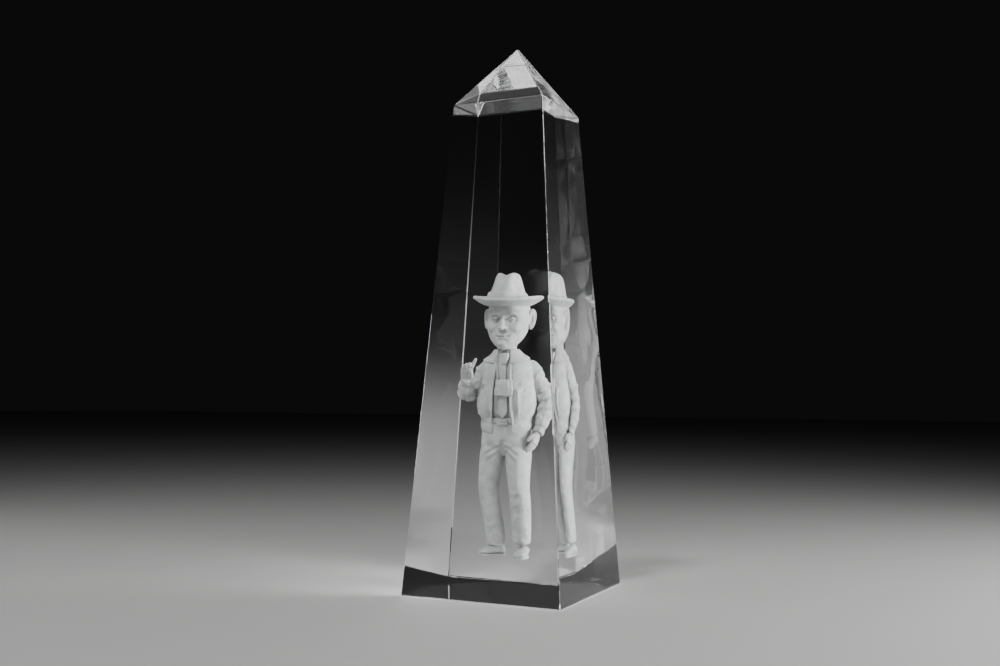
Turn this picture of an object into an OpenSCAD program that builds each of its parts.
// Crystal award: a four-sided obelisk of optical glass with a standing figure engraved inside it.
// Millimetres. The origin is the middle of the underside, +Z is up, and the figure faces -Y.
// The glass is solid right through. The engraved pieces are frosted marks inside it, so they share its
// space, and they meet each other face to face.

/* [Crystal block] */
// Width of the square base
base_w = 75; // [66:1:100]
// Width of the square shoulder under the pointed cap
shoulder_w = 44; // [40:1:60]
// Height of the tapered shaft
shaft_h = 220; // [180:1:300]
// Height of the pointed cap
cap_h = 30; // [15:1:60]
// Width of the polished bevel along the edges
edge_bevel = 0.5; // [0.2:0.1:1.5]

/* [Place of the figure] */
// Height of the soles above the underside of the block
sole_z = 16; // [8:1:40]
// Sideways place of the figure
figure_x = 1; // [-3:0.5:3]
// Front-to-back place of the figure
figure_y = 0; // [-3:0.5:3]

/* [Hat] */
// Diameter of the brim
brim_d = 34.5; // [30:0.5:42]
// Thickness of the brim
brim_t = 1.6; // [1:0.1:3]
// How far the sides of the brim curl up
brim_curl = 2.8; // [0.5:0.1:5]
// Width of the crown where it meets the brim
crown_w = 20; // [17:0.5:24]
// Width of the crown at its top
crown_top_w = 13; // [9:0.5:16]
// Front-to-back length of the crown at the brim
crown_l = 23; // [18:0.5:28]
// Height of the crown above the brim
crown_h = 13.4; // [10:0.1:17]
// Depth of the crease along the top of the crown
crease_depth = 1.4; // [0.4:0.1:3]
// Height of the hat band
band_h = 3.4; // [2:0.1:5]
// Thickness of the hat band
band_t = 0.5; // [0.3:0.1:1]

/* [Head and neck] */
// Width of the head
head_w = 21; // [18:0.5:25]
// Height from the chin to the underside of the brim
head_h = 20; // [16:0.5:25]
// Height of an ear
ear_h = 9.4; // [7:0.1:12]
// How far an ear stands out from the head
ear_out = 2.4; // [1.5:0.1:4]
// Front-to-back width of an ear
ear_l = 5; // [3.5:0.1:7]
// Thickness of the hair over the head
hair_t = 0.7; // [0.4:0.1:1.5]
// Diameter of the neck
neck_d = 9.4; // [8:0.2:12]
// Height of neck that shows between the shirt and the chin
neck_h = 3.4; // [2:0.2:6]

/* [Shirt and tie] */
// Width of the chest
chest_w = 22; // [19:0.5:26]
// Front-to-back depth of the chest
chest_l = 17; // [14:0.5:21]
// Height from the belt to the base of the neck
torso_h = 27; // [23:0.5:33]
// Height of the shirt collar
collar_h = 3; // [2:0.1:5]
// Thickness of the shirt collar
collar_t = 0.9; // [0.6:0.1:1.5]
// Width of the tie at its widest
tie_w = 5; // [3.5:0.1:7]
// Length of the tie below its knot
tie_l = 26; // [20:0.5:30]
// Thickness of the tie
tie_t = 0.8; // [0.5:0.1:1.5]
// Width of the small case that hangs on the chest
case_w = 8; // [6:0.1:9.5]
// Height of the small case
case_h = 7.4; // [5:0.1:10]
// Thickness of the small case
case_t = 2; // [1.4:0.1:3]
// Width of the case's neck strap
strap_w = 1.5; // [1:0.1:2.5]
// Thickness of the neck strap
strap_t = 0.8; // [0.5:0.1:1.2]

/* [Jacket] */
// Thickness of the jacket over the shirt
jacket_t = 2.2; // [1.4:0.1:3.5]
// Length of the jacket below the belt
jacket_drop = 4.6; // [4:0.2:8]
// Width of the gap between the fronts at the collar
gap_top = 8; // [6:0.2:10]
// Width of the gap between the fronts at the hem
gap_hem = 11; // [7:0.2:14]
// Height of the knitted waistband
waistband_h = 4; // [2.5:0.1:6]
// How far the waistband stands out from the jacket
waistband_t = 0.5; // [0.3:0.1:1]
// Height of the turned-down jacket collar
lapel_h = 5.6; // [4:0.1:8]
// Thickness of the jacket collar
lapel_t = 1.3; // [0.8:0.1:2]

/* [Arms and hands] */
// Diameter of the sleeve at the shoulder
sleeve_d = 8.6; // [7:0.2:11]
// Diameter of the sleeve at the elbow
elbow_d = 7.8; // [6:0.2:9]
// Diameter of the sleeve at the wrist
wrist_d = 6.2; // [5:0.2:8]
// Length of the knitted cuff
cuff_l = 2.2; // [1.5:0.1:4]
// Width of the palm
palm_w = 5.4; // [4:0.1:7]
// Length of the palm
palm_l = 4.6; // [3:0.1:6]
// Thickness of the palm
palm_t = 2.6; // [2:0.1:3.5]
// Diameter of a finger
finger_d = 1.35; // [1:0.05:1.8]
// Length of the longest finger
finger_l = 4.8; // [3:0.1:7]

/* [Trousers and belt] */
// Height from the soles to the crotch
leg_h = 44.4; // [38:0.2:54]
// Height from the crotch to the belt
hip_h = 14; // [11:0.2:17]
// Width of the hips
hip_w = 25; // [22:0.5:29]
// Front-to-back depth of the hips
hip_l = 17; // [14:0.5:21]
// Height of the belt
belt_h = 2.8; // [2:0.1:4]
// Thickness of the belt
belt_t = 0.6; // [0.3:0.1:1]
// Width of a trouser leg at the knee
knee_w = 9.8; // [8:0.2:11]
// Width of a trouser leg at its hem
hem_w = 8.8; // [7:0.2:10]
// Height of the trouser hems above the soles
hem_z = 4.4; // [3:0.2:6]

/* [Shoes] */
// Length of a shoe
shoe_l = 14.5; // [12:0.5:18]
// Width of a shoe
shoe_w = 7.4; // [6:0.2:8.5]
// Height of a shoe at the ankle
shoe_h = 6.6; // [5.5:0.2:9]
// Thickness of a sole
outsole_t = 1.3; // [0.8:0.1:2]

/* [Hidden] */

// Smoothness of round pieces, of many-sided pieces that others are fitted round, and of the sleeves
$fn = 32;
sides = 12;
sleeve_sides = 16;
// How many sides round the collar's rounded edge
rib_sides = 9;
// Colours of the clear glass and of the frosted engraving
glass_colour = [0.78, 0.88, 0.94, 0.25];
engraved_colour = [0.93, 0.94, 0.95];
// A length past any piece, for outlines that are cut to shape by another outline
far = 200;

// Heights above the soles, each stacked on the one below
z_belt = leg_h + hip_h;
z_shirt = z_belt + belt_h;
z_neck = z_shirt + torso_h;
z_chin = z_neck + neck_h;
z_brim = z_chin + head_h;
z_crown = z_brim + brim_t;
z_top = z_crown + crown_h;
z_jacket = z_belt - jacket_drop;

// Places across the figure: +x is the figure's left side
hip_shift = 0.4;
knee_x = [7.6, -7.2];
knee_y = [-4.5, -3];
hem_x = [8.9, -3.9];
hem_y = [-3, 3];
knee_z = 30;
// Turn of each shoe away from straight ahead
toe_turn = [6, -58];

// Arm joints: shoulder, elbow, wrist, and the way the hand points
chest_side = chest_w / 2 + jacket_t;
z_shoulder = z_neck - 6.6;
left_shoulder = [chest_side - 1, 1.5, z_shoulder];
left_elbow = [chest_side + 5, 4.5, z_shoulder - 13.6];
left_wrist = [chest_side + 3, -2, z_shoulder - 25.4];
right_shoulder = [-chest_side + 1, 1, z_shoulder];
right_elbow = [-chest_side - 3.8, 0.5, z_shoulder - 10];
right_wrist = [-chest_side - 2.8, -11.5, z_shoulder - 3];
left_hand_aim = [-2.2, -3.6, -8];
right_hand_aim = [0.6, -3, 8];

// A solid cut from a front outline in X and Z, and a side outline in Y and Z
module carve(front, side) {
  intersection() {
    rotate([90, 0, 0])
      linear_extrude(height = far, center = true)
        polygon(front);
    rotate([90, 0, 90])
      linear_extrude(height = far, center = true)
        polygon(side);
  }
}

// Outline symmetrical about the height axis, from [half width, height] points going up
function both_sides(half) =
  concat(half, [for (i = [len(half) - 1 : -1 : 0]) [-half[i][0], half[i][1]]]);

// Moves an outline sideways
function shifted(points, dx) = [for (p = points) [p[0] + dx, p[1]]];

// A rod that tapers from one point to another
module rod(from, to, d1, d2) {
  way = to - from;
  translate(from)
    rotate([0, acos(way[2] / norm(way)), atan2(way[1], way[0])])
      cylinder(h = norm(way), d1 = d1, d2 = d2);
}

// Puts a piece of the figure in its place in the glass
module in_block() {
  translate([figure_x, figure_y, sole_z])
    children();
}

// ---- Glass ----

// Outline of the obelisk, with the half widths multiplied by k and trimmed by cut
function obelisk_outline(k, cut) = both_sides([
  [base_w / 2 * k - cut - edge_bevel, 0],
  [base_w / 2 * k - cut, edge_bevel],
  [shoulder_w / 2 * k - cut, shaft_h - edge_bevel],
  [shoulder_w / 2 * k - cut - edge_bevel, shaft_h + edge_bevel / 2],
  [edge_bevel * k, shaft_h + cap_h]
]);

// The whole obelisk: square faces, then the long edges taken off by the same shape at 45 degrees
module obelisk() {
  intersection() {
    carve(obelisk_outline(1, 0), obelisk_outline(1, 0));
    rotate([0, 0, 45])
      carve(obelisk_outline(sqrt(2), edge_bevel / sqrt(2)), obelisk_outline(sqrt(2), edge_bevel / sqrt(2)));
  }
}

module crystal_block() {
  color(glass_colour)
    obelisk();
}

// ---- Hat ----

// The brim: a disc that is level in the middle and curls up at the sides
module brim_form() {
  flat = brim_d * 0.3;
  tip = brim_d / 2 + 1;
  intersection() {
    translate([0, 0, z_brim])
      cylinder(d = brim_d, h = brim_t + brim_curl);
    rotate([90, 0, 0])
      linear_extrude(height = far, center = true)
        polygon([
          [-flat, z_brim], [flat, z_brim],
          [tip, z_brim + brim_curl], [tip, z_brim + brim_curl + brim_t],
          [flat, z_crown], [-flat, z_crown],
          [-tip, z_brim + brim_curl + brim_t], [-tip, z_brim + brim_curl]
        ]);
  }
}

// The crown, grown outwards by a given amount, from just inside the brim to a height
module crown_form(grow, height) {
  low = z_brim + brim_t / 2;
  crown_front = 1.5;
  intersection() {
    carve(
      [
        [-crown_w / 2 - grow, low], [crown_w / 2 + grow, low],
        [crown_top_w / 2 + 1 + grow, z_top - 2], [crown_top_w / 3.4, z_top],
        [0, z_top - crease_depth],
        [-crown_top_w / 3.4, z_top], [-crown_top_w / 2 - 1 - grow, z_top - 2]
      ],
      shifted([
        [-crown_l / 2 - grow, low], [crown_l / 2 + grow, low],
        [crown_l / 2 - 2 + grow, z_top - 5], [crown_l / 2 - 6, z_top - 1.4],
        [-crown_l / 2 + 5, z_top], [-crown_l / 2 + 2 - grow, z_top - 3]
      ], -crown_front)
    );
    translate([0, -crown_front, low])
      cylinder(d1 = crown_l + 2 * grow, d2 = crown_l - 4 + 2 * grow, h = z_crown + height - low);
  }
}

module hat_crown() {
  color(engraved_colour)
    in_block()
      difference() {
        crown_form(0, crown_h);
        brim_form();
      }
}

module hat_band() {
  color(engraved_colour)
    in_block()
      difference() {
        crown_form(band_t, band_h);
        crown_form(0, crown_h);
        brim_form();
      }
}

module hat_brim() {
  color(engraved_colour)
    in_block()
      brim_form();
}

// ---- Head ----

// The head, grown outwards by a given amount: half an ellipsoid below the temples, straight above
module head_form(grow) {
  temple = head_h * 0.72;
  round_step = 15;
  translate([0, 0, z_chin])
    rotate_extrude()
      polygon(concat(
        [[0, -grow]],
        [for (a = [-75 : round_step : 0])
          [(head_w / 2 + grow) * cos(a), temple + (temple + grow) * sin(a)]],
        [[head_w / 2 + grow, head_h + brim_t / 2], [0, head_h + brim_t / 2]]
      ));
}

module head() {
  color(engraved_colour)
    in_block()
      difference() {
        head_form(0);
        brim_form();
      }
}

// Short hair: a thin shell over the back of the head, from the nape up to the brim
module hair_form() {
  nape = z_chin + head_h * 0.35;
  intersection() {
    head_form(hair_t);
    rotate([90, 0, 90])
      linear_extrude(height = far, center = true)
        polygon([
          [head_w * 0.1, z_brim], [head_w * 0.1, z_brim - 4],
          [head_w * 0.22, z_brim - 5], [head_w * 0.3, nape], [head_w, nape], [head_w, z_brim]
        ]);
  }
}

module hair() {
  color(engraved_colour)
    in_block()
      difference() {
        hair_form();
        head_form(0);
        ear_form(1);
        ear_form(-1);
      }
}

// One ear, on the side given by 1 for left and -1 for right
module ear_form(side) {
  root = head_w / 2 - 1.2;
  out = head_w / 2 + ear_out;
  low = z_brim - 1.6 - ear_h;
  carve(
    [
      [side * root, low], [side * (out - 1.8), low],
      [side * (out - 0.4), low + ear_h * 0.45], [side * out, low + ear_h * 0.75],
      [side * (out - 0.6), low + ear_h * 0.95], [side * (out - 1.6), low + ear_h], [side * root, low + ear_h]
    ],
    [
      [0.6, low], [ear_l * 0.5, low + 1], [ear_l * 0.9, low + ear_h * 0.6],
      [ear_l * 0.7, low + ear_h * 0.92], [ear_l * 0.35, low + ear_h], [0, low + ear_h * 0.85], [0, low + 1]
    ]
  );
}

module ear(side) {
  color(engraved_colour)
    in_block()
      difference() {
        ear_form(side);
        head_form(0);
      }
}

// The neck runs from inside the shirt to inside the head
module neck_form() {
  translate([0, -0.5, z_neck - 3])
    cylinder(d = neck_d, h = neck_h + 6, $fn = sides);
}

module neck() {
  color(engraved_colour)
    in_block()
      difference() {
        neck_form();
        head_form(0);
        shirt_form();
      }
}

// ---- Shirt, tie and case ----

// The chest, from the belt to the base of the neck
module shirt_form() {
  slope = 6;
  carve(
    both_sides([
      [chest_w / 2, z_shirt],
      [chest_w / 2, z_neck - slope],
      [neck_d / 2 + collar_t, z_neck]
    ]),
    [
      [-chest_l / 2, z_shirt], [chest_l / 2, z_shirt],
      [chest_l / 2 + 1, z_shirt + torso_h * 0.55], [chest_l / 2 - 1, z_neck - slope],
      [neck_d / 2 + collar_t, z_neck], [-neck_d / 2 - collar_t, z_neck],
      [-chest_l / 2 + 1, z_neck - slope]
    ]
  );
}

module shirt() {
  color(engraved_colour)
    in_block()
      shirt_form();
}

// The standing collar round the neck
module shirt_collar_form() {
  translate([0, -0.5, z_neck - 1])
    cylinder(d = neck_d + 2 * collar_t, h = collar_h + 1, $fn = sides);
}

module shirt_collar() {
  color(engraved_colour)
    in_block()
      difference() {
        shirt_collar_form();
        neck_form();
        head_form(0);
        shirt_form();
        tie_knot_form();
      }
}

// Front face of the shirt at the belt, which the tie and the case lie on
shirt_front = -chest_l / 2;
// Height of the lower end of the knot
z_knot = z_neck - 4;
// Leaning back of the chest's front, from the belt up to the shoulders
chest_lean = atan2(1, torso_h - 6);

// Places flat pieces on the sloping front of the shirt
module on_chest() {
  translate([0, shirt_front, z_shirt])
    rotate([-chest_lean, 0, 0])
      translate([0, 0, -z_shirt])
        children();
}

module tie_knot_form() {
  knot_w = tie_w * 0.62;
  translate([0, shirt_front + 1.2, 0])
    rotate([90, 0, 0])
      linear_extrude(height = 4.4, center = true)
        polygon(both_sides([[knot_w * 0.32, z_knot], [knot_w * 0.5, z_knot + 4.4]]));
}

module tie_knot() {
  color(engraved_colour)
    in_block()
      difference() {
        tie_knot_form();
        shirt_form();
        neck_form();
        head_form(0);
      }
}

module tie_blade_form() {
  tip = z_knot - tie_l;
  on_chest()
    translate([0, 0.6, 0])
      rotate([90, 0, 0])
        linear_extrude(height = 0.6 + tie_t)
          polygon(both_sides([
            [0.02, tip], [tie_w / 2, tip + tie_w * 0.5], [tie_w * 0.2, z_knot]
          ]));
}

module tie_blade() {
  color(engraved_colour)
    in_block()
      difference() {
        tie_blade_form();
        shirt_form();
        tie_knot_form();
        chest_case_form();
      }
}

// Height of the underside of the case on the chest
z_case = z_shirt + torso_h * 0.4;

module chest_case_form() {
  on_chest()
    translate([0.6 - case_w / 2, -tie_t - case_t, z_case])
      cube([case_w, tie_t + case_t + 0.4, case_h]);
}

module chest_case() {
  color(engraved_colour)
    in_block()
      difference() {
        chest_case_form();
        shirt_form();
      }
}

// Two straps run from under the collar down to the case
module neck_strap_form() {
  on_chest()
    for (side = [-1, 1])
      translate([0, 0.6, 0])
        rotate([90, 0, 0])
          linear_extrude(height = 0.6 + strap_t)
            polygon([
              [side * case_w * 0.3 + 0.6, z_case + case_h - 0.5],
              [side * case_w * 0.3 + 0.6 + side * strap_w, z_case + case_h - 0.5],
              [side * (gap_top / 2 - 0.2), z_neck - 2],
              [side * (gap_top / 2 - 0.2 - strap_w), z_neck - 2]
            ]);
}

module neck_strap() {
  color(engraved_colour)
    in_block()
      difference() {
        neck_strap_form();
        shirt_form();
        tie_blade_form();
        tie_knot_form();
        chest_case_form();
        shirt_collar_form();
      }
}

// ---- Jacket ----

// The open space between the fronts, from the hem to the collar
module jacket_gap() {
  lean = 1;
  translate([0, -far / 2, 0])
    rotate([90, 0, 0])
      linear_extrude(height = far, center = true)
        polygon([
          [lean - gap_hem / 2, z_jacket - 1], [lean + gap_hem / 2, z_jacket - 1],
          [gap_top / 2, z_neck + 6], [-gap_top / 2, z_neck + 6]
        ]);
}

// What the jacket is wrapped round
module inside_jacket() {
  shirt_form();
  belt_form();
  hips_form();
  neck_form();
  shirt_collar_form();
}

// The outside of the jacket, grown by a given amount, from a height up to the neck
module jacket_form(grow, low) {
  slope = 6;
  half_w = chest_w / 2 + jacket_t + grow;
  half_l = chest_l / 2 + jacket_t + grow;
  top_half = neck_d / 2 + collar_t + jacket_t + grow;
  z_high = z_neck + 1 + grow;
  carve(
    both_sides([[half_w, low], [half_w, z_neck - slope], [top_half, z_high]]),
    [
      [-half_l, low], [half_l, low], [half_l + 1, z_shirt + torso_h * 0.55], [half_l - 1, z_neck - slope],
      [top_half, z_high], [-top_half, z_high], [-half_l + 0.6, z_neck - slope]
    ]
  );
}

module jacket_shell() {
  difference() {
    jacket_form(0, z_jacket + waistband_h);
    inside_jacket();
    jacket_gap();
    chest_case_form();
  }
}

// The half of a shape behind the side seams (1) or in front of them (-1)
module jacket_half(side) {
  intersection() {
    children();
    translate([0, side * far / 2, 0])
      cube([far, far, 2 * far], center = true);
  }
}

module jacket_back() {
  color(engraved_colour)
    in_block()
      jacket_half(1)
        jacket_shell();
}

// One front of the jacket, 1 for left and -1 for right
module jacket_front(side) {
  color(engraved_colour)
    in_block()
      intersection() {
        jacket_half(-1)
          jacket_shell();
        translate([side * far / 2, 0, 0])
          cube([far, far, 2 * far], center = true);
      }
}

// The knitted waistband round the hem, open at the front
module waistband_form() {
  difference() {
    intersection() {
      jacket_form(waistband_t, z_jacket);
      translate([0, 0, z_jacket + waistband_h / 2])
        cube([far, far, waistband_h], center = true);
    }
    jacket_gap();
  }
}

module jacket_waistband() {
  color(engraved_colour)
    in_block()
      difference() {
        waistband_form();
        inside_jacket();
      }
}

// How many ribs shape the collar, from one front point round the nape to the other
ribs = 12;

// A rib of the collar, at a turn from the nape: it leans over the jacket's shoulder and down
module collar_rib(turn) {
  front_point = 150;
  share = lapel_h / 8;
  inner = neck_d / 2 + collar_t + lapel_t * 0.7;
  shoulder = neck_d / 2 + collar_t + jacket_t + lapel_t / 3;
  low_x = shoulder + (chest_w / 2 + jacket_t - shoulder) * share;
  low_y = shoulder + (chest_l / 2 + jacket_t - shoulder) * share;
  top_z = z_neck + 1 + lapel_t * (0.3 - 0.2 * abs(turn));
  way = [sin(turn * front_point), cos(turn * front_point)];
  square = pow(max(abs(way.x), abs(way.y)), 0.9);
  translate([way.x * inner, way.y * inner, top_z])
    sphere(d = lapel_t, $fn = rib_sides);
  translate([way.x * shoulder / square, way.y * shoulder / square, top_z])
    sphere(d = lapel_t, $fn = rib_sides);
  translate([way.x * low_x / square, way.y * low_y / square, top_z - 7 * share])
    sphere(d = lapel_t, $fn = rib_sides);
}

// The turned-down collar: a cape of ribs that lies on the shoulders, open at the throat
module jacket_collar_form() {
  for (i = [0 : ribs - 1])
    hull() {
      collar_rib(i * 2 / ribs - 1);
      collar_rib((i + 1) * 2 / ribs - 1);
    }
}

module jacket_collar() {
  color(engraved_colour)
    in_block()
      difference() {
        jacket_collar_form();
        jacket_form(0, z_jacket);
        neck_form();
        shirt_collar_form();
      }
}

// ---- Arms ----

// The point where the sleeve meets its cuff
function cuff_start(elbow, wrist) = wrist + (elbow - wrist) / norm(elbow - wrist) * cuff_l;

// How many rounded lengths of cloth make the sleeve above and below the elbow
folds = 4;

// A stretch of sleeve that narrows from one end to the other in soft folds
module sleeve_length(from, to, d1, d2) {
  fold_swell = 0.35;
  for (i = [0 : folds - 1]) {
    a = i / folds;
    b = (i + 1) / folds;
    hull() {
      translate(from + (to - from) * a)
        sphere(d = d1 + (d2 - d1) * a + fold_swell * (i % 2), $fn = sleeve_sides);
      translate(from + (to - from) * b)
        sphere(d = d1 + (d2 - d1) * b - fold_swell * (i % 2), $fn = sleeve_sides);
    }
  }
}

module sleeve_form(shoulder, elbow, wrist) {
  sleeve_length(shoulder, elbow, sleeve_d, elbow_d);
  difference() {
    sleeve_length(elbow, cuff_start(elbow, wrist), elbow_d, wrist_d);
    cuff_cut(elbow, wrist);
  }
}

// The space past the end of the sleeve, which squares it off where the cuff starts
module cuff_cut(elbow, wrist) {
  start = cuff_start(elbow, wrist);
  rod(start, start + (wrist - start) * 3, wrist_d * 2, wrist_d * 2);
}

module sleeve(shoulder, elbow, wrist) {
  color(engraved_colour)
    in_block()
      difference() {
        sleeve_form(shoulder, elbow, wrist);
        jacket_form(0, z_jacket + waistband_h);
        waistband_form();
        jacket_collar_form();
        hips_form();
      }
}

module cuff_form(elbow, wrist) {
  rod(cuff_start(elbow, wrist), wrist, wrist_d * 0.88, wrist_d * 0.88);
}

module cuff(elbow, wrist) {
  color(engraved_colour)
    in_block()
      difference() {
        cuff_form(elbow, wrist);
        waistband_form();
        hips_form();
      }
}

// A palm with four fingers and a thumb, pointing along aim; side is 1 for the left hand
module hand_form(wrist, aim, side) {
  turn = atan2(aim[1], aim[0]);
  tilt = acos(aim[2] / norm(aim));
  finger_step = finger_d * 0.9;
  translate(wrist)
    rotate([0, tilt, turn]) {
      translate([-palm_t / 2, -palm_w / 2, 0])
        cube([palm_t, palm_w, palm_l]);
      for (i = [0 : 3])
        translate([0, (i - 1.5) * finger_step, palm_l - 0.5])
          cylinder(d = finger_d, h = finger_l + 0.5 - abs(i - 1.3) * 0.5, $fn = sides);
      translate([0, side * palm_w / 2, palm_l * 0.4])
        rotate([-side * 32, 0, 0])
          cylinder(d = finger_d, h = finger_l * 0.8, $fn = sides);
    }
}

module hand_left() {
  color(engraved_colour)
    in_block()
      difference() {
        hand_form(left_wrist, left_hand_aim, 1);
        cuff_form(left_elbow, left_wrist);
        hips_form();
        leg_form(0);
        waistband_form();
        jacket_form(0, z_jacket + waistband_h);
      }
}

module hand_right() {
  color(engraved_colour)
    in_block()
      difference() {
        hand_form(right_wrist, right_hand_aim, -1);
        cuff_form(right_elbow, right_wrist);
      }
}

// ---- Trousers and belt ----

module hips_form() {
  carve(
    shifted(both_sides([
      [hip_w * 0.22, leg_h], [hip_w * 0.5, leg_h], [hip_w * 0.5, leg_h + hip_h * 0.5], [hip_w * 0.46, z_belt]
    ]), hip_shift),
    [
      [-hip_l / 2 + 1, leg_h], [hip_l / 2 - 1, leg_h], [hip_l / 2, leg_h + hip_h * 0.4],
      [hip_l / 2 - 1, z_belt], [-hip_l / 2, z_belt], [-hip_l / 2, leg_h + hip_h * 0.5]
    ]
  );
}

module trouser_hips() {
  color(engraved_colour)
    in_block()
      hips_form();
}

// One leg, 0 for left and 1 for right, from the crotch to the hem
module leg_form(i) {
  side = 1 - 2 * i;
  inner = hip_shift + side * 0.15;
  outer = hip_shift + side * hip_w / 2;
  carve(
    [
      [inner, leg_h], [outer, leg_h],
      [knee_x[i] + side * knee_w / 2, knee_z], [hem_x[i] + side * hem_w / 2, hem_z],
      [hem_x[i] - side * hem_w / 2, hem_z], [knee_x[i] - side * knee_w / 2, knee_z]
    ],
    [
      [-hip_l / 2 + 1, leg_h], [hip_l / 2 - 1, leg_h],
      [knee_y[i] + knee_w / 2 + 0.6, knee_z], [hem_y[i] + hem_w / 2, hem_z],
      [hem_y[i] - hem_w / 2, hem_z], [knee_y[i] - knee_w / 2 - 0.6, knee_z]
    ]
  );
}

module trouser_leg(i) {
  color(engraved_colour)
    in_block()
      difference() {
        leg_form(i);
        shoe_form(i);
      }
}

module belt_form() {
  translate([0, 0, z_belt])
    linear_extrude(height = belt_h)
      square([hip_w * 0.92 + 2 * belt_t - 1, hip_l + 2 * belt_t - 1], center = true);
}

module belt() {
  color(engraved_colour)
    in_block()
      difference() {
        belt_form();
        belt_buckle_form();
        tie_blade_form();
      }
}

module belt_buckle_form() {
  buckle_w = 5;
  buckle_t = 1.2;
  translate([-buckle_w / 2, -hip_l / 2 - belt_t, z_belt + 0.1])
    cube([buckle_w, buckle_t, belt_h - 0.2]);
}

module belt_buckle() {
  color(engraved_colour)
    in_block()
      difference() {
        belt_buckle_form();
        tie_blade_form();
      }
}

// ---- Shoes ----

// Puts a shoe under its trouser leg, turned outwards
module at_foot(i) {
  translate([hem_x[i], hem_y[i], 0])
    rotate([0, 0, toe_turn[i]])
      children();
}

// Outline of a shoe from above, heel to the back and toe to the front
function shoe_outline() = both_sides([
  [shoe_w * 0.2, -shoe_l * 0.66], [shoe_w * 0.42, -shoe_l * 0.58], [shoe_w * 0.5, -shoe_l * 0.38],
  [shoe_w * 0.4, shoe_l * 0.05], [shoe_w * 0.42, shoe_l * 0.25], [shoe_w * 0.25, shoe_l * 0.34]
]);

module shoe_form(i) {
  at_foot(i)
    intersection() {
      translate([0, 0, outsole_t])
        linear_extrude(height = shoe_h - outsole_t)
          polygon(shoe_outline());
      rotate([90, 0, 90])
        linear_extrude(height = far, center = true)
          polygon([
            [-shoe_l * 0.66, 0], [shoe_l * 0.34, 0], [shoe_l * 0.34, shoe_h], [-shoe_l * 0.12, shoe_h],
            [-shoe_l * 0.45, shoe_h * 0.62], [-shoe_l * 0.66, shoe_h * 0.5]
          ]);
    }
}

module shoe(i) {
  color(engraved_colour)
    in_block()
      shoe_form(i);
}

module sole_form(i) {
  at_foot(i)
    linear_extrude(height = outsole_t)
      polygon(shoe_outline());
}

module sole(i) {
  color(engraved_colour)
    in_block()
      sole_form(i);
}

crystal_block();
hat_crown();
hat_band();
hat_brim();
head();
hair();
ear(1);  // ear_left
ear(-1);  // ear_right
neck();
shirt();
shirt_collar();
tie_knot();
tie_blade();
neck_strap();
chest_case();
jacket_back();
jacket_front(1);  // jacket_front_left
jacket_front(-1);  // jacket_front_right
jacket_collar();
jacket_waistband();
sleeve(left_shoulder, left_elbow, left_wrist);  // sleeve_left
sleeve(right_shoulder, right_elbow, right_wrist);  // sleeve_right
cuff(left_elbow, left_wrist);  // cuff_left
cuff(right_elbow, right_wrist);  // cuff_right
hand_left();
hand_right();
belt();
belt_buckle();
trouser_hips();
trouser_leg(0);  // trouser_leg_left
trouser_leg(1);  // trouser_leg_right
shoe(0);  // shoe_left
shoe(1);  // shoe_right
sole(0);  // sole_left
sole(1);  // sole_right
